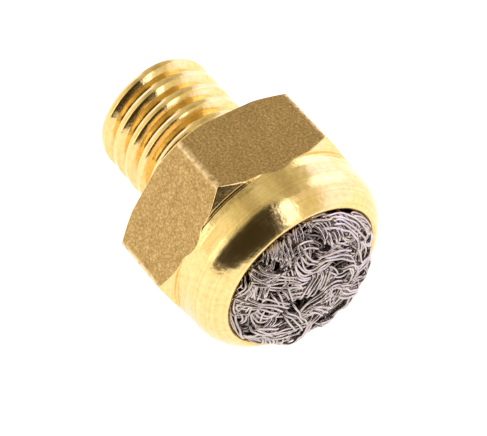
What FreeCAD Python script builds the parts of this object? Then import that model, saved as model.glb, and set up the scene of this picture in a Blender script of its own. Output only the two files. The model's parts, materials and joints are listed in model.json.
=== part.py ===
import FreeCAD, Part
import math
import os

import Sketcher

# Pneumatic muffler, thread M5 x 0.8, spanner size 8 mm.
#
# One turned brass body is cut from 8 mm hexagon bar: a threaded shank with a through bore, a
# hexagon for the spanner and a thin-walled crown. The crown is filled with pressed plies of
# knitted stainless wire, and its edge is rolled in over them, so that a wire dome stands proud.
#
# Frame: the origin is on the axis, in the plane of the hexagon's face that seats on the valve.
# +X runs along the axis towards the wire dome. +Z is the outward normal of one hexagon flat, so
# the muffler lies on the opposite flat. All lengths are in millimetres.

FULL_TURN = 360

DRIVING_SIZES = {
    # hexagon
    "hex_across_flats": 8.0,
    "hex_length": 3.1,
    "hex_edge_round": 0.15,
    "seat_rim_radius": 4.12,
    "seat_chamfer_length": 0.33,
    "crown_rim_radius": 4.2,
    "crown_chamfer_length": 0.30,
    # threaded shank
    "thread_length": 4.8,
    "thread_major_radius": 2.475,
    "thread_break_radius": 2.305,
    "thread_minor_radius": 2.1,
    "thread_pitch": 0.8,
    "thread_root_width": 0.05,
    "thread_flank_run": 0.125,
    "thread_crest_run": 0.158,
    "thread_lead_in": 1.097,
    "tip_chamfer_depth": 0.14,
    "tip_chamfer_length": 0.16,
    "neck_length": 1.0,
    "neck_radius": 2.0,
    # crown and its rolled edge
    "crown_foot_radius": 4.05,
    "crown_foot_length": 0.32,
    "crown_radius": 3.975,
    "crown_wall": 0.5,
    "roll_start_x": 3.8,
    "roll_radius": 1.5,
    "mouth_radius": 3.1,
    "lip_edge_round": 0.12,
    # air passage
    "inlet_radius": 1.25,
    "inlet_end_x": 0.45,
    "inlet_edge_chamfer": 0.2,
    "chamber_floor_x": 1.79,
    # wire plies
    "ply_clearance": 0.03,
    "ply_base_x": 1.8,
    "ply_thickness": 0.7,
    "neck_ply_length": 0.65,
    "dome_side_radius": 3.02,
    "dome_shoulder_x": 5.15,
    "dome_turn_radius": 2.55,
    "dome_shoulder_round": 0.95,
    "dome_apex_x": 6.3,
}
FLAT_PLY_COUNT = 3

# how far a cutting outline reaches past the stock, and past the thread's crests
STOCK_MARGIN = 1.0
CREST_MARGIN = 0.1

# two lengths are taken to be equal when they differ by less than this
SAME_LENGTH = 0.001


class Length:
    """A length that carries its number and the sheet formula that the number comes from."""

    def __init__(self, number, formula):
        self.number = number
        self.formula = formula

    def combined(self, sign, other):
        """Return this length plus or minus another length or a plain number."""
        if isinstance(other, Length):
            amount, text = other.number, other.formula
        else:
            amount, text = other, repr(float(other))
        total = self.number + amount if sign == "+" else self.number - amount
        return Length(total, "(%s %s %s)" % (self.formula, sign, text))

    def __add__(self, other):
        return self.combined("+", other)

    def __sub__(self, other):
        return self.combined("-", other)

    def __mul__(self, factor):
        if isinstance(factor, Length):
            return Length(self.number * factor.number, "(%s * %s)" % (self.formula, factor.formula))
        return Length(self.number * factor, "(%s * %r)" % (self.formula, float(factor)))

    def __neg__(self):
        return self * -1


def make_sheet(doc):
    """Write the driving sizes into a spreadsheet and return each one as a Length."""
    sheet = doc.addObject("Spreadsheet::Sheet", "Sizes")
    lengths = {}
    for row, (alias, value) in enumerate(DRIVING_SIZES.items(), start=1):
        sheet.set("A%d" % row, alias)
        sheet.set("B%d" % row, repr(value))
        sheet.setAlias("B%d" % row, alias)
        lengths[alias] = Length(value, "Sizes.%s" % alias)
    doc.recompute()
    return lengths


def origin_plane(body, role):
    """Return one of the body's own origin planes."""
    return next(item for item in body.Origin.OriginFeatures if item.Role == role)


def new_body(doc, name):
    """Start a body whose label names its file."""
    body = doc.addObject("PartDesign::Body", name)
    body.Label = name
    body.Placement = FreeCAD.Placement()
    return body


def new_sketch(body, name, role):
    """Start a sketch on one of the body's origin planes."""
    sketch = body.newObject("Sketcher::SketchObject", name)
    sketch.AttachmentSupport = [(origin_plane(body, role), "")]
    sketch.MapMode = "FlatFace"
    return sketch


def bind_point(sketch, edge, corner, position):
    """Fix one end of an edge at a pair of lengths; None leaves that coordinate to the geometry."""
    for kind, length in zip(("DistanceX", "DistanceY"), position):
        if length is None:
            continue
        if length == 0:
            axis = -2 if kind == "DistanceX" else -1
            sketch.addConstraint(Sketcher.Constraint("PointOnObject", edge, corner, axis))
            continue
        rule = Sketcher.Constraint(kind, -1, 1, edge, corner, length.number)
        index = sketch.addConstraint(rule)
        sketch.setExpression("Constraints[%d]" % index, length.formula)


def first_place(position):
    """Return where a point starts out, with its third value in place of a coordinate of None."""
    spare = position[-1]
    values = [spare if item is None else getattr(item, "number", item) for item in position[:2]]
    return FreeCAD.Vector(values[0], values[1], 0)


def draw_outline(sketch, corners, arcs=None):
    """Draw a closed outline through the corners.

    A corner is a pair of lengths. One of them may be None, where an arc's circle settles it, and
    then a third value is a first guess at it. arcs maps an edge's number to the arc's centre. An
    arc runs clockwise, and the corner that it starts from sets its radius.
    """
    arcs = arcs or {}
    count = len(corners)
    places = [first_place(corner) for corner in corners]
    starts = {}
    ends = {}
    for number in range(count):
        first = places[number]
        last = places[(number + 1) % count]
        if number not in arcs:
            edge = sketch.addGeometry(Part.LineSegment(first, last), False)
            starts[number], ends[number] = (edge, 1), (edge, 2)
            continue
        middle = first_place(arcs[number])
        circle = Part.Circle(middle, FreeCAD.Vector(0, 0, 1), first.distanceToPoint(middle))
        angles = [math.atan2(point.y - middle.y, point.x - middle.x) for point in (last, first)]
        edge = sketch.addGeometry(Part.ArcOfCircle(circle, *angles), False)
        starts[number], ends[number] = (edge, 2), (edge, 1)
    for number in range(count):
        following = (number + 1) % count
        sketch.addConstraint(Sketcher.Constraint("Coincident", *ends[number], *starts[following]))
    for number, centre in arcs.items():
        bind_point(sketch, starts[number][0], 3, centre[:2])
    for number, corner in enumerate(corners):
        bind_point(sketch, *starts[number], corner[:2])


def turn(body, kind, name, corners, arcs=None):
    """Turn an outline in the XY plane a full turn about X, as a solid or as a cut."""
    sketch = new_sketch(body, name + "Outline", "XY_Plane")
    draw_outline(sketch, corners, arcs)
    feature = body.newObject("PartDesign::" + kind, name)
    feature.Profile = sketch
    feature.ReferenceAxis = (sketch, ["H_Axis"])
    feature.Angle = FULL_TURN
    return feature


def checked_cut(doc, body, make_feature):
    """Make a feature that removes material, and make sure that it does."""
    doc.recompute()
    before = body.Shape.Volume
    feature = make_feature()
    doc.recompute()
    if not body.Shape.Volume < before:
        raise RuntimeError("%s cuts nothing" % feature.Name)
    return feature


def hexagon_bar(body, sizes):
    """Pad the hexagon bar that the body is cut from, with its six long edges rounded."""
    half = sizes["hex_across_flats"] * 0.5
    corner = half * (1 / math.cos(math.radians(30)))
    near = corner * 0.5
    sketch = new_sketch(body, "BarSection", "YZ_Plane")
    outline = [(corner, 0), (near, half), (-near, half), (-corner, 0), (-near, -half), (near, -half)]
    draw_outline(sketch, outline)
    sketch.setExpression("AttachmentOffset.Base.z", (-sizes["thread_length"]).formula)
    bar = body.newObject("PartDesign::Pad", "HexagonBar")
    bar.Profile = sketch
    full_length = sizes["thread_length"] + sizes["roll_start_x"] + sizes["roll_radius"]
    bar.setExpression("Length", full_length.formula)
    body.Document.recompute()
    long_edges = [
        "Edge%d" % number
        for number, edge in enumerate(bar.Shape.Edges, start=1)
        if edge.Length > full_length.number - SAME_LENGTH
    ]
    rounding = body.newObject("PartDesign::Fillet", "BarEdgeRound")
    rounding.Base = (bar, long_edges)
    rounding.setExpression("Radius", sizes["hex_edge_round"].formula)


def chamfer_run(sizes, rim, length):
    """Length along the axis of a corner chamfer whose cutting outline reaches past the stock."""
    rim_height = sizes["hex_across_flats"].number / math.sqrt(3) - sizes[rim].number
    return (sizes["hex_across_flats"] - sizes[rim]) * (sizes[length] * (1 / rim_height))


def ahead_on_circle(centre, radius, height):
    """Where a circle passes a height ahead of its centre, as a plain number for a first guess."""
    rise = height.number - centre[1].number
    return centre[0].number + math.sqrt(radius.number**2 - rise**2)


def shank_cut(body, sizes):
    """Turn the hexagon down to the shank, its relief neck, its tip chamfer and the seat chamfer."""
    tip = -sizes["thread_length"]
    outside = sizes["hex_across_flats"]
    seat_run = chamfer_run(sizes, "seat_rim_radius", "seat_chamfer_length")
    corners = [
        (tip - STOCK_MARGIN, outside),
        (tip - STOCK_MARGIN, sizes["thread_major_radius"] - sizes["tip_chamfer_depth"]),
        (tip, sizes["thread_major_radius"] - sizes["tip_chamfer_depth"]),
        (tip + sizes["tip_chamfer_length"], sizes["thread_major_radius"]),
        (-sizes["neck_length"] - sizes["tip_chamfer_length"], sizes["thread_major_radius"]),
        (-sizes["neck_length"], sizes["neck_radius"]),
        (0, sizes["neck_radius"]),
        (0, sizes["seat_rim_radius"]),
        (seat_run, outside),
    ]
    return turn(body, "Groove", "ShankCut", corners)


def crown_cut(body, sizes):
    """Turn the crown: the hexagon's front chamfer, a short taper, a band and the rolled edge."""
    hexagon_end = sizes["hex_length"]
    outside = sizes["hex_across_flats"]
    crown_run = chamfer_run(sizes, "crown_rim_radius", "crown_chamfer_length")
    roll_centre = (sizes["roll_start_x"], sizes["crown_radius"] - sizes["roll_radius"])
    mouth_x = ahead_on_circle(roll_centre, sizes["roll_radius"], sizes["mouth_radius"])
    front = sizes["roll_start_x"] + sizes["roll_radius"] + STOCK_MARGIN
    corners = [
        (hexagon_end - crown_run, outside),
        (hexagon_end, sizes["crown_rim_radius"]),
        (hexagon_end, sizes["crown_foot_radius"]),
        (hexagon_end + sizes["crown_foot_length"], sizes["crown_radius"]),
        (sizes["roll_start_x"], sizes["crown_radius"]),
        (None, sizes["mouth_radius"], mouth_x),
        (front, sizes["mouth_radius"]),
        (front, outside),
    ]
    return turn(body, "Groove", "CrownCut", corners, {4: roll_centre})


def air_passage_cut(body, sizes):
    """Bore the inlet, the drill cone and the wire chamber, and open the mouth of the rolled edge."""
    tip = -sizes["thread_length"]
    chamber = sizes["crown_radius"] - sizes["crown_wall"]
    roll_centre = (sizes["roll_start_x"], sizes["crown_radius"] - sizes["roll_radius"])
    inner_round = sizes["roll_radius"] - sizes["crown_wall"]
    mouth_x = ahead_on_circle(roll_centre, inner_round, sizes["mouth_radius"])
    front = sizes["roll_start_x"] + sizes["roll_radius"] + STOCK_MARGIN
    corners = [
        (tip - STOCK_MARGIN, 0),
        (tip - STOCK_MARGIN, sizes["inlet_radius"] + sizes["inlet_edge_chamfer"]),
        (tip, sizes["inlet_radius"] + sizes["inlet_edge_chamfer"]),
        (tip + sizes["inlet_edge_chamfer"], sizes["inlet_radius"]),
        (sizes["inlet_end_x"], sizes["inlet_radius"]),
        (sizes["chamber_floor_x"], chamber),
        (sizes["roll_start_x"], chamber),
        (None, sizes["mouth_radius"], mouth_x),
        (front, sizes["mouth_radius"]),
        (front, 0),
    ]
    return turn(body, "Groove", "AirPassage", corners, {6: roll_centre})


def lip_round(body, sizes):
    """Round the edge where the rolled crown meets the mouth."""
    base = body.Tip
    mouth_edges = [
        (edge.BoundBox.XMin, "Edge%d" % number)
        for number, edge in enumerate(base.Shape.Edges, start=1)
        if len(edge.Vertexes) == 1
        and abs(edge.Curve.Radius - sizes["mouth_radius"].number) < SAME_LENGTH
    ]
    front_edge = max(mouth_edges)[1]
    rounding = body.newObject("PartDesign::Fillet", "LipRound")
    rounding.Base = (base, [front_edge])
    rounding.setExpression("Radius", sizes["lip_edge_round"].formula)


def thread_cut(body, sizes):
    """Cut the right-hand thread, from before the tip into the relief neck.

    Each flank is steep near the root and eased off near the crest.
    """
    start = -sizes["thread_length"] - sizes["thread_lead_in"]
    half_root = sizes["thread_root_width"] * 0.5
    half_break = half_root + sizes["thread_flank_run"]
    half_top = half_break + sizes["thread_crest_run"]
    overrun = sizes["thread_major_radius"] + CREST_MARGIN
    rising = [
        (start + half_root, sizes["thread_minor_radius"]),
        (start + half_break, sizes["thread_break_radius"]),
        (start + half_top, sizes["thread_major_radius"]),
        (start + half_top, overrun),
    ]
    falling = [
        (start - half_top, overrun),
        (start - half_top, sizes["thread_major_radius"]),
        (start - half_break, sizes["thread_break_radius"]),
        (start - half_root, sizes["thread_minor_radius"]),
    ]
    sketch = new_sketch(body, "ThreadGrooveOutline", "XY_Plane")
    draw_outline(sketch, rising + falling)
    helix = body.newObject("PartDesign::SubtractiveHelix", "ThreadGroove")
    helix.Profile = sketch
    helix.ReferenceAxis = (sketch, ["H_Axis"])
    helix.Mode = 0
    helix.setExpression("Pitch", sizes["thread_pitch"].formula)
    run = sizes["thread_length"] + sizes["thread_lead_in"] - sizes["neck_length"] * 0.5
    helix.setExpression("Height", run.formula)
    helix.LeftHanded = False
    return helix


def make_muffler_body(doc, sizes):
    """The brass piece, made in the order of the real work: bar, turning, boring, threading."""
    body = new_body(doc, "body")
    hexagon_bar(body, sizes)
    checked_cut(doc, body, lambda: shank_cut(body, sizes))
    checked_cut(doc, body, lambda: crown_cut(body, sizes))
    checked_cut(doc, body, lambda: air_passage_cut(body, sizes))
    lip_round(body, sizes)
    checked_cut(doc, body, lambda: thread_cut(body, sizes))
    return body


def make_flat_ply(doc, sizes, number):
    """One of the equal discs of knitted wire at the bottom of the chamber."""
    body = new_body(doc, "wire_ply_%d" % number)
    back = sizes["ply_base_x"] + sizes["ply_thickness"] * (number - 1)
    front = back + sizes["ply_thickness"]
    edge = sizes["crown_radius"] - sizes["crown_wall"] - sizes["ply_clearance"]
    turn(body, "Revolution", "Ply%d" % number, [(back, 0), (back, edge), (front, edge), (front, 0)])
    return body


def make_neck_ply(doc, sizes):
    """The ply that the rolled edge squeezes into a cone."""
    body = new_body(doc, "wire_ply_%d" % (FLAT_PLY_COUNT + 1))
    back = sizes["ply_base_x"] + sizes["ply_thickness"] * FLAT_PLY_COUNT
    front = back + sizes["neck_ply_length"]
    wide = sizes["crown_radius"] - sizes["crown_wall"] - sizes["ply_clearance"]
    narrow = sizes["dome_side_radius"]
    turn(body, "Revolution", "NeckPly", [(back, 0), (back, wide), (front, narrow), (front, 0)])
    return body


def make_dome(doc, sizes):
    """The outermost ply, which bulges out of the mouth as a dome."""
    body = new_body(doc, "wire_dome")
    back = sizes["ply_base_x"] + sizes["ply_thickness"] * FLAT_PLY_COUNT + sizes["neck_ply_length"]
    side = sizes["dome_side_radius"]
    turn_radius = sizes["dome_turn_radius"]
    shoulder_centre = (sizes["dome_shoulder_x"], side - sizes["dome_shoulder_round"])
    turn_x = ahead_on_circle(shoulder_centre, sizes["dome_shoulder_round"], turn_radius)
    rise = sizes["dome_apex_x"].number - turn_x
    top_round = (turn_radius.number**2 + rise**2) / (2 * rise)
    top_centre = (None, 0, sizes["dome_apex_x"].number - top_round)
    corners = [
        (back, 0),
        (back, side),
        (sizes["dome_shoulder_x"], side),
        (None, turn_radius, turn_x),
        (sizes["dome_apex_x"], 0),
    ]
    turn(body, "Revolution", "Dome", corners, {2: shoulder_centre, 3: top_centre})
    return body


def check_and_export(doc, bodies):
    """Stop if anything failed to compute, then write one file for each sub-part."""
    failed = [item.Name for item in doc.Objects if {"Invalid", "Error"} & set(item.State)]
    if failed:
        raise RuntimeError("failed objects: %s" % failed)
    for body in bodies:
        if body.Shape.isNull() or not body.Shape.isValid():
            raise RuntimeError("bad shape: %s" % body.Label)
    os.makedirs("parts", exist_ok=True)
    for body in bodies:
        body.Shape.exportStep("parts/%s.step" % body.Label)
        print("%-12s %8.3f mm3, %d solid" % (body.Label, body.Shape.Volume, len(body.Shape.Solids)))


def main():
    doc = FreeCAD.newDocument("PneumaticMuffler")
    sizes = make_sheet(doc)
    bodies = [make_muffler_body(doc, sizes)]
    bodies += [make_flat_ply(doc, sizes, number) for number in range(1, FLAT_PLY_COUNT + 1)]
    bodies += [make_neck_ply(doc, sizes), make_dome(doc, sizes)]
    doc.recompute()
    check_and_export(doc, bodies)


main()
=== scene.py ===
import json
import math

import bmesh
import bpy
import numpy as np
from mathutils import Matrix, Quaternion, Vector


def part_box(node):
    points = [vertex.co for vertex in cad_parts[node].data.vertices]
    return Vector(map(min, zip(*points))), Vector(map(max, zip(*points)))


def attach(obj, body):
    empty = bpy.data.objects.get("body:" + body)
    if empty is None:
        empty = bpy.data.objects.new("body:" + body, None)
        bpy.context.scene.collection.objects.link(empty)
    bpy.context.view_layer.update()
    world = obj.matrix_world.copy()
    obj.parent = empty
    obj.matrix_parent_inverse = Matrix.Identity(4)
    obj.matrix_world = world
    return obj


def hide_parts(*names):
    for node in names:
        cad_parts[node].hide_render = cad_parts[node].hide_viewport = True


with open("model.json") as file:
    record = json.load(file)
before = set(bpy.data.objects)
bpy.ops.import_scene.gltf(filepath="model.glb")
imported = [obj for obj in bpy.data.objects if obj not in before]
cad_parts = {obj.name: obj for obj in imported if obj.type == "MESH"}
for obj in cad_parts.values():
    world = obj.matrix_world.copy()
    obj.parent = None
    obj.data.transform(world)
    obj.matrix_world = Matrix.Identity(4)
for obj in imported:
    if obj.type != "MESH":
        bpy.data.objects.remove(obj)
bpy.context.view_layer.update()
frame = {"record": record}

# A pneumatic muffler with an M5 thread, lying on one flat of its hexagon. +X is its axis, from the
# thread to the wire dome. The brass body and the wire plies are rebuilt here as finer meshes, to
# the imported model's own sizes. Lengths are in millimetres unless a comment says otherwise, and are
# scaled when a mesh is made.

MM = 0.001

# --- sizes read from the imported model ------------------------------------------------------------
body_low, body_high = (np.array(corner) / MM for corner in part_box("body"))
dome_high = np.array(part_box("wire_dome")[1]) / MM
mounts = {mount["name"]: mount for mount in frame["record"]["mounts"]}
TIP_X = body_low[0]
HALF_FLATS = body_high[2]
FLOOR_Z = body_low[2]
MAJOR_RADIUS = mounts["thread"]["dims"]["r_mm"]
INLET_RADIUS = mounts["air_inlet"]["dims"]["r_mm"]
DOME_APEX = dome_high[0]
DOME_SIDE = dome_high[1]

# --- sizes of the brass body, as designed --------------------------------------------------------
EDGE_ROUND = 0.15
HEX_LENGTH = 3.1
SEAT_RIM, SEAT_CHAMFER = 4.12, 0.33
CROWN_RIM, CROWN_CHAMFER = 4.2, 0.30
CORNER_RADIUS = HALF_FLATS / math.cos(math.pi / 6)
PITCH, THREAD_LEAD_IN = 0.8, 1.097
THREAD_ROOT_RADIUS = 2.1
# The groove's two flanks: how far each of their corners lies from its middle, and its radius.
FRONT_PLACES = (0.025, 0.150, 0.308)
FRONT_RADII = (THREAD_ROOT_RADIUS, 2.305, MAJOR_RADIUS)
REAR_PLACES = (0.025, 0.230, 0.340)
REAR_RADII = (THREAD_ROOT_RADIUS, MAJOR_RADIUS - 0.025, MAJOR_RADIUS)
TIP_CHAMFER_DEPTH, TIP_CHAMFER = 0.14, 0.16
NECK, NECK_RADIUS = 1.0, 2.0
CROWN_FOOT, CROWN_FOOT_LENGTH = 4.05, 0.32
CROWN_RADIUS, CROWN_WALL = 3.975, 0.5
ROLL_X, ROLL_RADIUS = 3.8, 1.5
MOUTH_RADIUS, LIP_ROUND = 3.1, 0.12
INLET_END, INLET_CHAMFER = 0.45, 0.2
CHAMBER_FLOOR = 1.79

# --- fineness of the brass body's mesh -----------------------------------------------------------
# In degrees: the even step between columns, and the extra columns beside each hexagon corner.
COLUMN_STEP = 2
CORNER_COLUMNS = (-1.35, -1.15, -0.85, -0.55, -0.25, 0.25, 0.55, 0.85, 1.15, 1.35)
THREAD_ROW_GAP = 0.008
# Corners are rounded over SOFT_REACH on both sides, and each has rows at these multiples of it.
SOFT_REACH = 0.035
SOFT_ROWS = (-1.6, -1.0, -0.5, 0.0, 0.5, 1.0, 1.6)
END_FACE_RINGS = 4
# In metres, because the weld works on the finished mesh.
WELD_DISTANCE = 2e-7
THINNEST_FACE = 1e-7


# --- meshes --------------------------------------------------------------------------------------
def shade_smooth(mesh):
    mesh.polygons.foreach_set("use_smooth", np.ones(len(mesh.polygons), dtype=bool))


def new_piece(name, points, faces, node):
    """Make a mesh piece from millimetre points. It rides on the body and stands for a CAD node."""
    mesh = bpy.data.meshes.new(name)
    mesh.from_pydata((points * MM).tolist(), [], faces)
    shade_smooth(mesh)
    piece = bpy.data.objects.new(name, mesh)
    bpy.context.scene.collection.objects.link(piece)
    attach(piece, "root")
    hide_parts(node)
    return piece


def grid_faces(rows, columns, shift=0, first=0):
    """Quads of a grid that closes on itself. Its last column joins its first one shift rows on."""
    faces = []
    for column in range(columns):
        following = (column + 1) % columns
        step = shift if following == 0 else 0
        row = np.arange(rows - 1 - step)
        near = first + column * rows + row
        far = first + following * rows + row + step
        faces.append(np.stack([near, far, far + 1, near + 1], axis=1))
    return np.concatenate(faces).tolist()


# --- brass body ----------------------------------------------------------------------------------
def body_angles():
    """Angles of the body's columns: evenly round, and closer together at the hexagon's corners."""
    even = np.radians(np.arange(0, 360, COLUMN_STEP))
    corners = np.radians(np.arange(0, 360, 60))
    extra = (corners[:, None] + np.radians(CORNER_COLUMNS)[None, :]).ravel() % math.tau
    return np.unique(np.round(np.concatenate([even, extra]), 7))


def hexagon_radius(angle):
    """Distance from the axis to the hexagon's side, with corners at 0, 60 and so on degrees."""
    from_corner = (angle + math.pi / 6) % (math.pi / 3) - math.pi / 6
    flat = HALF_FLATS / np.cos(math.pi / 6 - np.abs(from_corner))
    centre = (HALF_FLATS - EDGE_ROUND) / math.cos(math.pi / 6)
    under_root = np.maximum(EDGE_ROUND**2 - (centre * np.sin(from_corner)) ** 2, 0)
    rounded = centre * np.cos(from_corner) + np.sqrt(under_root)
    touch = math.pi / 6 - math.atan(centre * 0.5 / HALF_FLATS)
    return np.where(np.abs(from_corner) < touch, rounded, flat)


def thread_radius(x, angle):
    """Radius of the threaded shank. The rear flank, which faces the tip, is the steeper one, and
    ends in a slightly rolled crest."""
    phase = (x - TIP_X + THREAD_LEAD_IN - PITCH * angle / math.tau) / PITCH
    from_groove = ((phase + 0.5) % 1 - 0.5) * PITCH
    places = np.concatenate([-np.array(FRONT_PLACES[::-1]), REAR_PLACES])
    radius = np.interp(from_groove, places, FRONT_RADII[::-1] + REAR_RADII)
    tip_cone = MAJOR_RADIUS - TIP_CHAMFER_DEPTH * (1 - (x - TIP_X) / TIP_CHAMFER)
    neck_cone = NECK_RADIUS + (-NECK - x) * (MAJOR_RADIUS - NECK_RADIUS) / TIP_CHAMFER
    return np.minimum(np.minimum(radius, tip_cone), neck_cone)


def arc(centre, radius, start, end, count):
    """Points of an arc in the (x, radius) plane, from one angle in degrees to another."""
    angle = np.radians(np.linspace(start, end, count))
    return np.stack([centre[0] + radius * np.cos(angle), centre[1] + radius * np.sin(angle)], axis=1)


def crown_outline():
    """The rolled edge and the air passage behind it, as one line that ends near the tip."""
    roll_centre = (ROLL_X, CROWN_RADIUS - ROLL_RADIUS)
    lip_radius = MOUTH_RADIUS + LIP_ROUND
    lip_reach = ROLL_RADIUS - LIP_ROUND
    lip_angle = math.degrees(math.asin((lip_radius - roll_centre[1]) / lip_reach))
    lip_centre = (ROLL_X + lip_reach * math.cos(math.radians(lip_angle)), lip_radius)
    inner = ROLL_RADIUS - CROWN_WALL
    land_angle = math.degrees(math.asin((MOUTH_RADIUS - roll_centre[1]) / inner))
    outside = arc(roll_centre, ROLL_RADIUS, 90, lip_angle, 20)
    lip = arc(lip_centre, LIP_ROUND, lip_angle, -90, 10)[1:]
    inside = arc(roll_centre, inner, land_angle, 90, 9)
    chamber = CROWN_RADIUS - CROWN_WALL
    passage = [
        (CHAMBER_FLOOR, chamber),
        (INLET_END, INLET_RADIUS),
        (TIP_X + INLET_CHAMFER, INLET_RADIUS),
    ]
    return np.concatenate([outside, lip, inside, passage])


def body_outline(angle):
    """One column's outline from the relief neck, over the outside, to the bore's mouth.

    Each column has the same number of points, so that neighbours join into a grid.
    """
    side = hexagon_radius(angle)
    height = CORNER_RADIUS - np.array([SEAT_RIM, CROWN_RIM])
    rear = max(side - SEAT_RIM, 0) / height[0] * SEAT_CHAMFER
    front = HEX_LENGTH - max(side - CROWN_RIM, 0) / height[1] * CROWN_CHAMFER
    shoulder = (HEX_LENGTH, min(side, CROWN_RIM))
    foot = (HEX_LENGTH, CROWN_FOOT)
    if side < CROWN_FOOT:
        sunk = (CROWN_FOOT - side) / (CROWN_FOOT - CROWN_RADIUS)
        front = HEX_LENGTH + sunk * CROWN_FOOT_LENGTH
        shoulder = foot = (front, side)
    hexagon = [
        (-NECK, NECK_RADIUS),
        (0, NECK_RADIUS),
        (0, min(side, SEAT_RIM)),
        (rear, side),
        (front, side),
        shoulder,
        foot,
        (HEX_LENGTH + CROWN_FOOT_LENGTH, CROWN_RADIUS),
    ]
    end = (TIP_X, INLET_RADIUS + INLET_CHAMFER)
    return np.concatenate([hexagon, crown_outline(), [end]])


def outline_integral(outline, places, sums, value):
    """Integral of an outline along its length, from its start to each value.

    places are its points' distances from the start, and sums are the integrals up to them. A value
    past either end counts as more of the end point.
    """
    inside = np.clip(value, 0, places[-1])
    index = np.clip(np.searchsorted(places, inside, side="right") - 1, 0, len(places) - 2)
    length = places[index + 1] - places[index]
    share = (inside - places[index]) / np.maximum(length, 1e-12)
    point = outline[index] + (outline[index + 1] - outline[index]) * share[:, None]
    mean = 0.5 * (outline[index] + point)
    inner = sums[index] + mean * (inside - places[index])[:, None]
    return inner + point * (value - inside)[:, None]


def rows_round_corners(places):
    """Distances along an outline at which it is resampled: a few round each of its points."""
    offsets = np.array(SOFT_ROWS) * SOFT_REACH
    halfway = 0.5 * (places[1:] + places[:-1])
    low = np.concatenate([places[:1], halfway])
    high = np.concatenate([halfway, places[-1:]])
    return np.clip(places[:, None] + offsets, low[:, None], high[:, None]).ravel()


def softened(outline):
    """Round an outline's corners: each row becomes the mean of the outline on both its sides."""
    step = np.linalg.norm(np.diff(outline, axis=0), axis=1)
    places = np.concatenate([[0], np.cumsum(step)])
    middle = 0.5 * (outline[1:] + outline[:-1]) * step[:, None]
    sums = np.concatenate([np.zeros((1, 2)), np.cumsum(middle, axis=0)])
    rows = rows_round_corners(places)
    room = np.minimum(SOFT_REACH, np.minimum(rows, places[-1] - rows))
    reach = np.maximum(room, 1e-6)
    high = outline_integral(outline, places, sums, rows + reach)
    low = outline_integral(outline, places, sums, rows - reach)
    points = (high - low) / (2 * reach)[:, None]
    points[0], points[-1] = outline[0], outline[-1]
    return points


def turned(profile, angles):
    """Put (x, radius) columns at their angles round the axis."""
    radius = profile[:, :, 1]
    across = radius * np.cos(angles)[:, None]
    up = radius * np.sin(angles)[:, None]
    return np.stack([profile[:, :, 0], across, up], axis=2).reshape(-1, 3)


def thread_grid(angles):
    """The threaded shank as rows that climb with the helix, cut off at the tip and at the neck.

    Each corner of the groove has a row on either side of it, and the rest are spread between.
    Also returns the number of rows in one turn.
    """
    corners = np.concatenate([REAR_PLACES, PITCH - np.array(FRONT_PLACES[::-1])])
    between = 0.5 * (corners[:-1] + corners[1:])
    beside = [corners - THREAD_ROW_GAP, corners + THREAD_ROW_GAP]
    places = np.sort(np.concatenate([[0], *beside, between]))
    turns = math.ceil((-NECK - TIP_X + THREAD_LEAD_IN) / PITCH) + 2
    run = (np.arange(turns)[:, None] * PITCH + places[None, :]).ravel()
    x = TIP_X - THREAD_LEAD_IN - PITCH + run[None, :] + PITCH * angles[:, None] / math.tau
    x = np.clip(x, TIP_X, -NECK)
    radius = thread_radius(x, angles[:, None])
    return np.stack([x, radius], axis=2), len(places)


def brass_body():
    """The whole brass piece, from the tip of its thread to its rolled edge and back inside."""
    angles = body_angles()
    shell = np.array([softened(body_outline(angle)) for angle in angles])
    thread, turn_rows = thread_grid(angles)
    tip = np.stack([np.full_like(angles, TIP_X), thread_radius(TIP_X, angles)], axis=1)
    bore_edge = shell[:, -1]
    share = np.linspace(0, 1, END_FACE_RINGS)[None, :, None]
    end_face = bore_edge[:, None] * (1 - share) + tip[:, None] * share
    points, faces = [], []
    first = 0
    for profile, shift in ((shell, 0), (thread, turn_rows), (end_face, 0)):
        points.append(turned(profile, angles))
        faces += grid_faces(profile.shape[1], len(angles), shift, first)
        first += len(points[-1])
    piece = new_piece("brass_body", np.concatenate(points), faces, "body")
    weld(piece.data)
    return piece


def weld(mesh):
    """Join points that coincide and point every face outwards."""
    work = bmesh.new()
    work.from_mesh(mesh)
    bmesh.ops.remove_doubles(work, verts=work.verts, dist=WELD_DISTANCE)
    bmesh.ops.dissolve_degenerate(work, edges=work.edges, dist=THINNEST_FACE)
    bmesh.ops.recalc_face_normals(work, faces=work.faces)
    open_edges = sum(1 for edge in work.edges if not edge.is_manifold)
    print("weld", mesh.name, len(work.faces), "faces,", open_edges, "open edges")
    work.to_mesh(mesh)
    work.free()
    shade_smooth(mesh)


def mark_bar_sides(mesh):
    """Give the drawn sides of the hexagon the second material slot."""
    tolerance = 0.02
    for face in mesh.polygons:
        x, y, z = face.center / MM
        inside = 0 < x < HEX_LENGTH + CROWN_FOOT_LENGTH
        sideways = abs(face.normal.x) < tolerance
        side = float(hexagon_radius(math.atan2(z, y)))
        if inside and sideways and math.hypot(y, z) > side - tolerance:
            face.material_index = 1


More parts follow.
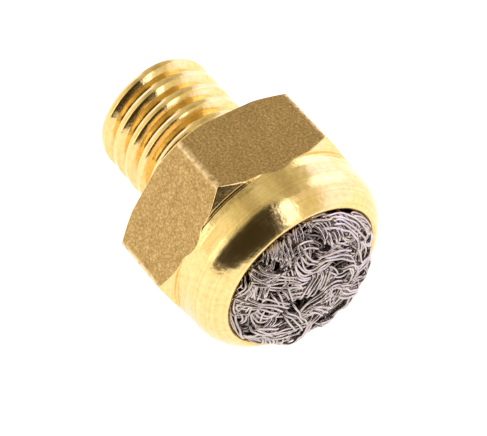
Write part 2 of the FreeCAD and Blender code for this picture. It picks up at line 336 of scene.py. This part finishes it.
# --- materials -----------------------------------------------------------------------------------
class Nodes:
    """A new node material, with short ways to add and join nodes."""

    def __init__(self, name):
        self.material = bpy.data.materials.new(name)
        self.material.use_nodes = True
        self.tree = self.material.node_tree
        self.shader = self.tree.nodes["Principled BSDF"]
        coordinates = self.add("ShaderNodeTexCoord")
        scale = self.add("ShaderNodeVectorMath", operation="SCALE")
        self.join(coordinates, "Object", scale, 0)
        scale.inputs["Scale"].default_value = 1 / MM
        self.place = scale.outputs[0]

    def add(self, kind, **settings):
        node = self.tree.nodes.new(kind)
        for name, value in settings.items():
            setattr(node, name, value)
        return node

    def join(self, source, output, target, put):
        socket = source if output is None else source.outputs[output]
        self.tree.links.new(socket, target.inputs[put])

    def noise(self, vector, scale, detail=3.0, roughness=0.6):
        node = self.add("ShaderNodeTexNoise")
        self.join(vector, None, node, "Vector")
        node.inputs["Scale"].default_value = scale
        node.inputs["Detail"].default_value = detail
        node.inputs["Roughness"].default_value = roughness
        return node.outputs["Fac"]

    def mapped(self, value, low, high, to_low, to_high):
        node = self.add("ShaderNodeMapRange")
        self.join(value, None, node, "Value")
        ends = {"From Min": low, "From Max": high, "To Min": to_low, "To Max": to_high}
        for name, number in ends.items():
            node.inputs[name].default_value = number
        return node.outputs["Result"]

    def ramp(self, value, *stops):
        node = self.add("ShaderNodeValToRGB")
        self.join(value, None, node, "Fac")
        elements = node.color_ramp.elements
        while len(elements) < len(stops):
            elements.new(0.5)
        for element, (place, colour) in zip(elements, stops):
            element.position = place
            element.color = (*colour, 1)
        return node.outputs["Color"]

    def mixed(self, share, first, second, blend="MIX"):
        node = self.add("ShaderNodeMix", data_type="RGBA", blend_type=blend)
        for put, value in ((0, share), (6, first), (7, second)):
            if hasattr(value, "is_linked"):
                self.join(value, None, node, put)
            elif isinstance(value, tuple):
                node.inputs[put].default_value = (*value, 1)
            else:
                node.inputs[put].default_value = value
        return node.outputs[2]

    def bump(self, height, strength, distance, before=None):
        node = self.add("ShaderNodeBump")
        self.join(height, None, node, "Height")
        node.inputs["Strength"].default_value = strength
        node.inputs["Distance"].default_value = distance * MM
        if before is not None:
            self.join(before, None, node, "Normal")
        return node.outputs["Normal"]

    def product(self, first, second):
        node = self.add("ShaderNodeMath", operation="MULTIPLY")
        self.join(first, None, node, 0)
        self.join(second, None, node, 1)
        return node.outputs[0]

    def from_axis(self):
        """Distance from the muffler's axis, in millimetres."""
        across = self.add("ShaderNodeVectorMath", operation="MULTIPLY")
        self.join(self.place, None, across, 0)
        across.inputs[1].default_value = (0, 1, 1)
        length = self.add("ShaderNodeVectorMath", operation="LENGTH")
        self.join(across, 0, length, 0)
        return length.outputs["Value"]

    def rings(self):
        """Coordinates that change only along the axis and outwards, as a lathe tool's marks do."""
        parts = self.add("ShaderNodeSeparateXYZ")
        self.join(self.place, None, parts, 0)
        rings = self.add("ShaderNodeCombineXYZ")
        self.join(parts, "X", rings, "X")
        self.join(self.from_axis(), None, rings, "Y")
        return rings.outputs[0]

    def finish(self, colour, roughness, normal):
        """Make the material a bare metal with this colour, roughness and surface."""
        self.join(colour, None, self.shader, "Base Color")
        self.join(roughness, None, self.shader, "Roughness")
        self.join(normal, None, self.shader, "Normal")
        self.shader.inputs["Metallic"].default_value = 1.0
        return self.material


def turned_brass():
    """Bright brass as it leaves the lathe: fine and coarser rings, faint stains, slight waves."""
    m = Nodes("turned_brass")
    rings = m.rings()
    fine = m.noise(rings, 30.0, 4.0, 0.7)
    coarse = m.noise(rings, 9.0, 3.0, 0.6)
    broad = m.noise(m.place, 0.9, 2.0)
    stain = m.noise(m.place, 5.0, 4.0, 0.65)
    clean = m.ramp(broad, (0.3, (0.87, 0.64, 0.24)), (0.7, (0.90, 0.69, 0.30)))
    dull = m.ramp(stain, (0.30, (0.78, 0.56, 0.24)), (0.55, (1.0, 1.0, 1.0)))
    streak = m.ramp(coarse, (0.36, (0.74, 0.52, 0.24)), (0.54, (1.0, 1.0, 1.0)))
    colour = m.mixed(0.20, m.mixed(0.30, clean, dull, "MULTIPLY"), streak, "MULTIPLY")
    roughness = m.mapped(fine, 0.3, 0.7, 0.12, 0.24)
    uneven = m.bump(m.noise(m.place, 2.6, 2.0, 0.5), 0.5, 0.03)
    normal = m.bump(fine, 0.5, 0.004, m.bump(coarse, 0.4, 0.007, uneven))
    return m.finish(colour, roughness, normal)


def bar_brass():
    """The drawn bar's own skin on the hexagon: dull tan, grainy, and lighter at its corners from wear
    and painted highlight.
    """
    m = Nodes("bar_brass")
    stretch = m.add("ShaderNodeMapping")
    m.join(m.place, None, stretch, "Vector")
    stretch.inputs["Scale"].default_value = (0.25, 1.0, 1.0)
    drawn = m.noise(stretch.outputs[0], 9.0, 4.0, 0.7)
    grain = m.noise(m.place, 11.0, 5.0, 0.8)
    blotch = m.noise(m.place, 1.6, 3.0, 0.6)
    base = m.ramp(
        grain,
        (0.34, (0.29, 0.18, 0.05)),
        (0.50, (0.53, 0.345, 0.117)),
        (0.66, (0.86, 0.62, 0.27)),
    )
    tone = m.ramp(blotch, (0.30, (0.84, 0.82, 0.78)), (0.70, (1.0, 1.0, 1.0)))
    skin = m.mixed(1.0, base, tone, "MULTIPLY")
    # Lighter colour along the hexagon's corners: partly brass rubbed bare, partly a painted highlight
    # of the rounded edges.
    corner = m.mapped(m.from_axis(), CORNER_RADIUS - 0.085, CORNER_RADIUS - 0.04, 0.0, 1.0)
    patchy = m.mapped(m.noise(m.place, 4.0, 4.0, 0.7), 0.42, 0.55, 0.15, 1.0)
    worn_and_highlight = m.product(corner, patchy)
    colour = m.mixed(worn_and_highlight, skin, (0.93, 0.70, 0.36))
    roughness = m.mapped(grain, 0.3, 0.7, 0.36, 0.52)
    normal = m.bump(grain, 0.6, 0.014, m.bump(drawn, 0.3, 0.008))
    return m.finish(colour, roughness, normal)


def wire_steel(name, light, dark):
    """Drawn stainless wire, which varies along each strand between a light and a dark tone."""
    m = Nodes(name)
    long_tone = m.noise(m.place, 1.6, 2.0)
    speck = m.noise(m.place, 14.0, 3.0, 0.7)
    broad = m.ramp(long_tone, (0.3, dark), (0.7, light))
    close = m.ramp(speck, (0.3, dark), (0.7, light))
    colour = m.mixed(0.4, broad, close)
    roughness = m.mapped(speck, 0.3, 0.7, 0.12, 0.26)
    normal = m.bump(speck, 0.25, 0.004)
    return m.finish(colour, roughness, normal)


# --- wire ----------------------------------------------------------------------------------------
WIRE_STEP = 0.08
WIRE_RADIUS = 0.048
STRAND_SPACING = 0.165
GOLDEN_ANGLE = math.pi * (3 - math.sqrt(5))

# How the strands of a curl drift apart, how they rise and fall alone and together, and how their
# ends dive under other curls.
SPACING_VARIATION = 0.35
FANNING = 0.10
OWN_RISE, COMMON_RISE = 0.02, 0.14
DIVE_DEPTH, DIVE_LENGTH = 0.28, 0.3

# How much a curl's bend varies along it, for the listed curls and for the scattered ones.
CURL_WANDER, SCATTERED_WANDER = 0.12, 0.4

# The scattered curls' least and greatest bend per millimetre, wavelength of that bend, and length.
SCATTERED_BEND = (0.7, 1.9)
SCATTERED_SWING = (2.8, 4.8)
SCATTERED_LENGTH = (1.8, 4.2)

# Distances on the dome run along its surface from the apex. Strands may lie as far as DOME_REACH,
# which is behind the mouth. Past RIM_START they rise towards the brass.
DOME_REACH = 4.7
RIM_START, RIM_WIDTH = 3.0, 0.6
RIM_FLATTENING, RIM_RISE = 0.55, 0.05
LUMP_DEPTH = 0.10
CORE_DEPTH, CORE_ROUGHNESS = 0.62, 0.02
CORE_COLUMN_STEP = 5.0

# The flat plies inside, and the curls on each of their faces. The last ply is cone-shaped, and the
# smaller of its faces has the radius NECK_PLY_FACE_RADIUS.
MAT_CURLS = 28
MAT_DEPTHS = (0.05, 0.15)
MAT_SPACING = 0.18
MAT_MARGIN = 0.05
PLY_COUNT = 4
NECK_PLY_FACE_RADIUS = 3.0


def dome_profile():
    """The dome's outline from its apex to deep behind the mouth, with its length and normals."""
    turn_radius, shoulder_x, shoulder_round = 2.55, 5.15, 0.95
    shoulder_y = DOME_SIDE - shoulder_round
    turn_x = shoulder_x + math.sqrt(shoulder_round**2 - (turn_radius - shoulder_y) ** 2)
    sagitta = DOME_APEX - turn_x
    top_round = (turn_radius**2 + sagitta**2) / (2 * sagitta)
    top_angle = math.degrees(math.asin(turn_radius / top_round))
    top = arc((DOME_APEX - top_round, 0), top_round, 0, top_angle, 30)
    shoulder_angle = math.degrees(math.asin((turn_radius - shoulder_y) / shoulder_round))
    shoulder = arc((shoulder_x, shoulder_y), shoulder_round, shoulder_angle, 90, 20)[1:]
    side = np.array([(shoulder_x - step, DOME_SIDE) for step in np.linspace(0.05, 1.2, 12)])
    line = np.concatenate([top, shoulder, side])
    length = np.concatenate([[0], np.cumsum(np.linalg.norm(np.diff(line, axis=0), axis=1))])
    tangent = np.gradient(line, length, axis=0)
    tangent /= np.linalg.norm(tangent, axis=1)[:, None]
    normal = np.stack([tangent[:, 1], -tangent[:, 0]], axis=1)
    return length, line, normal


PROFILE = dome_profile()


def on_dome(flat, depth):
    """Lay flat (u, v) places on the dome. Their distance from the middle runs along its surface.

    The strands lie in soft lumps, and crowd up against the brass round the rim.
    """
    length, line, normal = PROFILE
    distance = np.linalg.norm(flat, axis=1)
    angle = np.arctan2(flat[:, 1], flat[:, 0])
    spot = np.stack([np.interp(distance, length, line[:, k]) for k in (0, 1)], axis=1)
    out = np.stack([np.interp(distance, length, normal[:, k]) for k in (0, 1)], axis=1)
    out /= np.linalg.norm(out, axis=1)[:, None]
    lumps = 0.5 + 0.5 * np.sin(flat[:, 0] * 2.1 + 0.7) * np.sin(flat[:, 1] * 1.9 - 0.4)
    rim = np.clip((distance - RIM_START) / RIM_WIDTH, 0, 1)
    sunk = depth * (1 - RIM_FLATTENING * rim) + LUMP_DEPTH * lumps * (1 - rim) - RIM_RISE * rim
    spot = spot - out * sunk[:, None]
    turn = np.stack([np.cos(angle), np.sin(angle)], axis=1)
    place = np.concatenate([spot[:, :1], spot[:, 1:] * turn], axis=1)
    outward = np.concatenate([out[:, :1], out[:, 1:] * turn], axis=1)
    return place, outward


def on_disc(x, facing):
    """Return a function that lays flat places on a flat disc at x."""

    def lay(flat, depth):
        place = np.stack([x - facing * depth, flat[:, 0], flat[:, 1]], axis=1)
        outward = np.tile([float(facing), 0.0, 0.0], (len(flat), 1))
        return place, outward

    return lay


def wave(rng, count, wavelength):
    """A smooth random curve between about -1 and 1, at a strand's points."""
    place = np.arange(count) * WIRE_STEP
    total = np.zeros(count)
    for octave, share in ((1.0, 0.7), (2.3, 0.3)):
        total += share * np.sin(place * math.tau * octave / wavelength + rng.uniform(0, math.tau))
    return total


def kept_inside(flat, limit):
    """Ease places that pass the limit back in, so that strands run along the rim."""
    distance = np.linalg.norm(flat, axis=1)
    start = limit * 0.96
    room = limit - start
    eased = start + room * (1 - np.exp(-np.maximum(distance - start, 0) / room))
    scale = np.where(distance > start, eased / np.maximum(distance, 1e-9), 1.0)
    return flat * scale[:, None]


class Tubes:
    """Collects wire strands as one mesh of closed tubes."""

    def __init__(self, sides):
        self.sides = sides
        self.points = []
        self.faces = []
        self.total = 0

    def add(self, path, outward, radius):
        tangent = np.gradient(path, axis=0)
        tangent /= np.linalg.norm(tangent, axis=1)[:, None]
        across = np.cross(tangent, outward)
        across /= np.maximum(np.linalg.norm(across, axis=1), 1e-9)[:, None]
        lift = np.cross(across, tangent)
        around = np.arange(self.sides) * math.tau / self.sides
        cosine, sine = np.cos(around)[None, :, None], np.sin(around)[None, :, None]
        ring = across[:, None] * cosine + lift[:, None] * sine
        points = (path[:, None] + ring * radius).reshape(-1, 3)
        rows = len(path)
        row = np.arange(rows - 1)[:, None] * self.sides
        side = np.arange(self.sides)[None, :]
        following = (side + 1) % self.sides
        quads = np.stack(
            [row + side, row + self.sides + side, row + self.sides + following, row + following],
            axis=2,
        )
        self.points.append(points)
        self.faces += (quads.reshape(-1, 4) + self.total).tolist()
        last = self.total + (rows - 1) * self.sides
        self.faces.append([self.total + k for k in range(self.sides)])
        self.faces.append([last + k for k in reversed(range(self.sides))])
        self.total += len(points)

    def piece(self, name, node, material):
        """Make one piece of all the strands."""
        piece = new_piece(name, np.concatenate(self.points), self.faces, node)
        piece.data.materials.append(material)
        print(name, len(self.faces), "faces")


def bundle_line(rng, start, heading, bend, length, wander, swing=None):
    """A curl's middle line. It bends steadily, or to and fro when swing gives a wavelength."""
    count = max(8, int(length / WIRE_STEP))
    turning = bend + wander * wave(rng, count, rng.uniform(1.5, 3.0))
    if swing is not None:
        phase = rng.uniform(0, math.tau) + np.arange(count) * WIRE_STEP * math.tau / swing
        turning = turning + (np.sin(phase) - 1) * bend
    angles = heading + np.cumsum(turning) * WIRE_STEP
    steps = np.stack([np.cos(angles), np.sin(angles)], axis=1) * WIRE_STEP
    return np.asarray(start) + np.cumsum(steps, axis=0)


def add_bundle(tubes, rng, middle, strands, depth, lay, limit, spacing, rise=0.0):
    """Lay nearly parallel strands along a middle line.

    Their ends dive under their neighbours, and with a rise they also go under and over others on
    the way.
    """
    tangent = np.gradient(middle, axis=0)
    tangent /= np.linalg.norm(tangent, axis=1)[:, None]
    sideways = np.stack([-tangent[:, 1], tangent[:, 0]], axis=1)
    count = len(middle)
    trim = max(1, count // 4)
    common = wave(rng, count, rng.uniform(2.2, 3.6))
    from_middle = (np.arange(count) - count / 2) * WIRE_STEP
    for strand in range(strands):
        offset = (strand - (strands - 1) / 2) * spacing
        offset = offset + spacing * SPACING_VARIATION * wave(rng, count, rng.uniform(1.4, 3.0))
        offset = offset + from_middle * rng.uniform(-FANNING, FANNING)
        flat = kept_inside(middle + sideways * offset[:, None], limit)
        first = rng.randint(0, trim)
        last = count - rng.randint(0, trim)
        from_end = np.minimum(np.arange(count) - first, last - 1 - np.arange(count)) * WIRE_STEP
        dive = DIVE_DEPTH * np.clip(1 - from_end / DIVE_LENGTH, 0, 1) ** 2
        own = wave(rng, count, rng.uniform(1.2, 2.4))
        level = depth + dive + rise * (0.5 + 0.5 * common) + OWN_RISE * own
        path, outward = lay(flat, np.maximum(level, WIRE_RADIUS))
        path, outward = path[first:last], outward[first:last]
        if len(path) > 4:
            tubes.add(path, outward, WIRE_RADIUS)


def scattered_bundles(tubes, rng, number, lay, limit, depths, spacing):
    """Fill a disc evenly with winding curls in every direction, the lowest ones first."""
    for spot, depth in zip(rng.permutation(number), np.linspace(depths[1], depths[0], number)):
        distance = limit * math.sqrt((spot + rng.uniform(0, 1)) / number)
        angle = spot * GOLDEN_ANGLE + rng.uniform(-0.3, 0.3)
        start = (distance * math.cos(angle), distance * math.sin(angle))
        heading = rng.uniform(0, math.tau)
        bend = rng.choice([-1, 1]) * rng.uniform(*SCATTERED_BEND)
        swing = rng.uniform(*SCATTERED_SWING)
        length = rng.uniform(*SCATTERED_LENGTH)
        middle = bundle_line(rng, start, heading, bend, length, SCATTERED_WANDER, swing)
        middle = middle - 0.5 * (middle[-1] - middle[0])
        strands = rng.randint(2, 6)
        add_bundle(tubes, rng, middle, strands, depth, lay, limit, spacing, COMMON_RISE)


# The pad's clearest curls, laid last, each on one line: its start (u, v) on the dome, its heading
# in degrees, its bend per millimetre, its length, and how many strands it has.
CURLS = (
    ((0.1, 3.35), 2, -0.50, 3.2, 5),
    ((0.75, 3.30), -95, 0.15, 1.3, 4),
    ((-0.85, 3.20), -97, 0.75, 1.7, 2),
    ((-0.40, 2.10), -6, -0.30, 2.4, 3),
    ((-3.05, 2.60), -52, 0.50, 1.7, 4),
    ((-3.30, 1.00), -4, -0.35, 2.3, 4),
    ((-3.90, 0.55), 42, -0.85, 1.8, 2),
    ((-0.85, 0.20), 60, -0.10, 1.5, 4),
    ((-0.15, 0.25), 66, 0.10, 1.2, 3),
    ((0.60, 0.30), 100, -2.00, 2.4, 2),
    ((-1.55, 0.10), -50, -0.10, 2.1, 4),
    ((-2.90, -0.10), -48, 0.15, 1.9, 3),
    ((3.90, -0.60), -100, -0.25, 2.7, 4),
    ((1.80, 3.25), -25, -0.30, 3.5, 4),
    ((-3.75, 0.20), -85, 0.15, 2.5, 4),
    ((-1.95, 2.30), 55, 0.10, 1.3, 4),
    ((-1.45, 3.60), -90, 0.10, 1.3, 5),
    ((-3.10, 1.85), -10, 0.20, 1.2, 3),
    ((-1.90, 1.55), -62, -0.20, 1.4, 4),
    ((-0.30, 3.70), 2, -0.25, 1.6, 3),
    ((-2.30, -3.50), -20, 0.27, 3.0, 4),
    ((0.30, -3.95), 5, 0.30, 3.0, 4),
    ((0.90, -0.20), -60, 0.40, 1.8, 3),
    ((-0.60, -0.40), -20, -0.30, 1.6, 3),
)


def dome_core(material):
    """The tightly pressed inside of the dome, seen only between the strands, in a dark material that
    paints the shade there.
    """
    line, normal = PROFILE[1:]
    inner = line - normal * CORE_DEPTH
    inner[:, 1] = np.maximum(inner[:, 1], 0)
    profile = np.concatenate([inner, [(inner[-1, 0], 0.0)]])
    angles = np.radians(np.arange(0, 360, CORE_COLUMN_STEP))
    grid = np.tile(profile[None], (len(angles), 1, 1))
    rng = np.random.RandomState(5)
    points = turned(grid, angles)
    points = points + rng.uniform(-CORE_ROUGHNESS, CORE_ROUGHNESS, points.shape)
    points[:: len(profile)] = points[0]
    points[len(profile) - 1 :: len(profile)] = points[len(profile) - 1]
    faces = grid_faces(len(profile), len(angles))
    piece = new_piece("wire_dome_core", points, faces, "wire_dome")
    weld(piece.data)
    piece.data.materials.append(material)


# The dome's layers: name, number of curls, depths, sides of a strand and seed.
DOME_LAYERS = (
    ("deep", 75, (0.36, 0.50), 5, 11),
    ("middle", 84, (0.20, 0.38), 6, 12),
    ("top", 88, (0.04, 0.20), 6, 23),
)


def clearest_curls(tubes, rng):
    """Lay the listed curls on top of the scattered ones."""
    for start, heading, bend, length, strands in CURLS:
        middle = bundle_line(rng, start, math.radians(heading), bend, length, CURL_WANDER)
        add_bundle(tubes, rng, middle, strands, 0, on_dome, DOME_REACH, STRAND_SPACING)


def wire_dome(materials):
    """The domed ply: three layers of curled strands over a core, darker deeper down as painted shade.
    """
    for layer, number, depths, sides, seed in DOME_LAYERS:
        tubes = Tubes(sides)
        rng = np.random.RandomState(seed)
        scattered_bundles(tubes, rng, number, on_dome, DOME_REACH, depths, STRAND_SPACING)
        if layer == "top":
            clearest_curls(tubes, rng)
        tubes.piece("wire_dome_" + layer, "wire_dome", materials[layer])
    dome_core(materials["core"])


def inner_plies(materials):
    """The plies inside the chamber, as flat mats of curled strands."""
    for number in range(1, PLY_COUNT + 1):
        node = "wire_ply_%d" % number
        low, high = (np.array(corner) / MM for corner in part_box(node))
        tubes = Tubes(4)
        rng = np.random.RandomState(20 + number)
        radius = (NECK_PLY_FACE_RADIUS if number == PLY_COUNT else high[1]) - MAT_MARGIN
        for x, facing in ((low[0], -1), (high[0], 1)):
            lay = on_disc(x, facing)
            scattered_bundles(tubes, rng, MAT_CURLS, lay, radius, MAT_DEPTHS, MAT_SPACING)
        # The mats take the deep layer's darker material, which is painted shade.
        tubes.piece(node + "_mat", node, materials["deep"])


# --- camera, light and floor ---------------------------------------------------------------------
# The fixed direction that the tent is laid out for, from the muffler.
VIEWED_FROM = (0.523, -0.407, 0.749)
TENT_WHITE = (1.50, 1.46, 2.15)
# Each panel's bearings, tilts, colour and softness of edge, with angles in degrees. A panel covers
# the ones before it. The last two light the wire dome, and the rest are mirrored in the brass.
TENT_PANELS = (
    ((76, 106), (-40, 25), (0.70, 0.65, 0.50), 8),
    ((76, 97), (25, 62), (0.88, 0.80, 0.62), 8),
    ((104, 152), (-8, 70), (0.78, 0.72, 0.55), 3),
    ((110, 117), (-8, 30), (0.54, 0.48, 0.36), 3),
    ((88, 96), (-8, 24), (0.52, 0.46, 0.34), 4),
    ((126, 152), (-8, 16), (1.12, 1.05, 0.85), 8),
    ((135, 151), (6, 15), (2.0, 1.9, 1.9), 3),
    ((104, 151), (15, 58), (0.045, 0.035, 0.025), 2),
    ((96, 103.5), (24, 55), (2.6, 2.6, 3.2), 1.5),
    ((58, 80), (11, 21), (2.4, 2.4, 3.0), 7),
    ((-200, 200), (66, 95), (0.95, 0.88, 0.98), 6),
    ((20, 70), (68, 80), (3.6, 3.4, 3.9), 5),
)


def camera():
    """A long lens that looks down at the dome's end from one side."""
    place = Vector((42.98, -32.36, 59.20)) * MM
    aim = Vector((1.14, 0.20, -0.72)) * MM
    roll = math.radians(4.54)
    data = bpy.data.cameras.new("camera")
    data.lens = 160.4
    data.sensor_width = 36
    data.clip_start = 0.001
    data.clip_end = 10
    made = bpy.data.objects.new("camera", data)
    made.location = place
    turn = (aim - place).to_track_quat("-Z", "Y") @ Quaternion((0, 0, 1), roll)
    made.rotation_mode = "QUATERNION"
    made.rotation_quaternion = turn
    bpy.context.scene.collection.objects.link(made)
    bpy.context.scene.camera = made


def math_node(tree, operation, first, second=None):
    node = tree.nodes.new("ShaderNodeMath")
    node.operation = operation
    tree.links.new(first, node.inputs[0])
    if second is not None:
        tree.links.new(second, node.inputs[1])
    return node.outputs[0]


def tent_angles(tree):
    """The bearing and tilt that name each place on the tent.

    They are those of the surface that would mirror the place towards VIEWED_FROM: its bearing
    round the muffler's axis, and its tilt towards the dome.
    """
    coordinates = tree.nodes.new("ShaderNodeTexCoord")
    between = tree.nodes.new("ShaderNodeVectorMath")
    between.operation = "ADD"
    tree.links.new(coordinates.outputs["Generated"], between.inputs[0])
    between.inputs[1].default_value = VIEWED_FROM
    facing = tree.nodes.new("ShaderNodeVectorMath")
    facing.operation = "NORMALIZE"
    tree.links.new(between.outputs[0], facing.inputs[0])
    parts = tree.nodes.new("ShaderNodeSeparateXYZ")
    tree.links.new(facing.outputs[0], parts.inputs[0])
    bearing = math_node(tree, "ARCTAN2", parts.outputs["Z"], parts.outputs["Y"])
    tilt = math_node(tree, "ARCSINE", parts.outputs["X"])
    return bearing, tilt


def past(tree, value, degrees, softness, rising):
    """1 on one side of an angle and 0 on the other, with a soft edge."""
    node = tree.nodes.new("ShaderNodeMapRange")
    node.interpolation_type = "SMOOTHSTEP"
    tree.links.new(value, node.inputs["Value"])
    reach = softness if rising else -softness
    node.inputs["From Min"].default_value = math.radians(degrees - reach / 2)
    node.inputs["From Max"].default_value = math.radians(degrees + reach / 2)
    return node.outputs["Result"]


def studio():
    """A white light tent with darker and brighter panels, which the turned brass mirrors."""
    world = bpy.data.worlds.new("studio")
    bpy.context.scene.world = world
    world.use_nodes = True
    tree = world.node_tree
    bearing, tilt = tent_angles(tree)
    colour = None
    for bearings, tilts, tone, softness in TENT_PANELS:
        edges = [
            past(tree, bearing, bearings[0], softness, True),
            past(tree, bearing, bearings[1], softness, False),
            past(tree, tilt, tilts[0], softness, True),
            past(tree, tilt, tilts[1], softness, False),
        ]
        share = edges[0]
        for edge in edges[1:]:
            share = math_node(tree, "MULTIPLY", share, edge)
        mix = tree.nodes.new("ShaderNodeMix")
        mix.data_type = "RGBA"
        tree.links.new(share, mix.inputs[0])
        if colour is None:
            mix.inputs[6].default_value = (*TENT_WHITE, 1)
        else:
            tree.links.new(colour, mix.inputs[6])
        mix.inputs[7].default_value = (*tone, 1)
        colour = mix.outputs[2]
    tree.links.new(colour, tree.nodes["Background"].inputs["Color"])


def floor():
    """A plain white paper floor under the lower flat."""
    reach = 0.6
    corners = [(-reach, -reach, 0), (reach, -reach, 0), (reach, reach, 0), (-reach, reach, 0)]
    mesh = bpy.data.meshes.new("floor")
    mesh.from_pydata(corners, [], [(0, 1, 2, 3)])
    made = bpy.data.objects.new("floor", mesh)
    made.location = (0, 0, FLOOR_Z * MM)
    bpy.context.scene.collection.objects.link(made)
    material = bpy.data.materials.new("floor_paper")
    material.use_nodes = True
    shader = material.node_tree.nodes["Principled BSDF"]
    shader.inputs["Base Color"].default_value = (0.60, 0.60, 0.60, 1)
    shader.inputs["Roughness"].default_value = 0.9
    shader.inputs["Emission Color"].default_value = (0.93, 0.92, 1.0, 1)
    shader.inputs["Emission Strength"].default_value = 1.0
    mesh.materials.append(material)


camera()
studio()
floor()
bpy.context.scene.view_settings.view_transform = "Standard"

body_piece = brass_body()
for brass in (turned_brass(), bar_brass()):
    body_piece.data.materials.append(brass)
mark_bar_sides(body_piece.data)
weighted = body_piece.modifiers.new("weighted_normals", "WEIGHTED_NORMAL")
weighted.weight = 80

# The middle, deep and core materials are darker copies of the top wire: painted shade on the strands
# and the core that lie deeper in the pad.
wire_materials = {
    "top": wire_steel("wire_steel", (0.71, 0.63, 0.555), (0.40, 0.34, 0.295)),
    "middle": wire_steel("wire_steel_middle", (0.36, 0.30, 0.26), (0.20, 0.165, 0.14)),
    "deep": wire_steel("wire_steel_deep", (0.27, 0.215, 0.185), (0.15, 0.115, 0.10)),
    "core": wire_steel("wire_steel_core", (0.18, 0.13, 0.11), (0.10, 0.07, 0.06)),
}
wire_dome(wire_materials)
inner_plies(wire_materials)
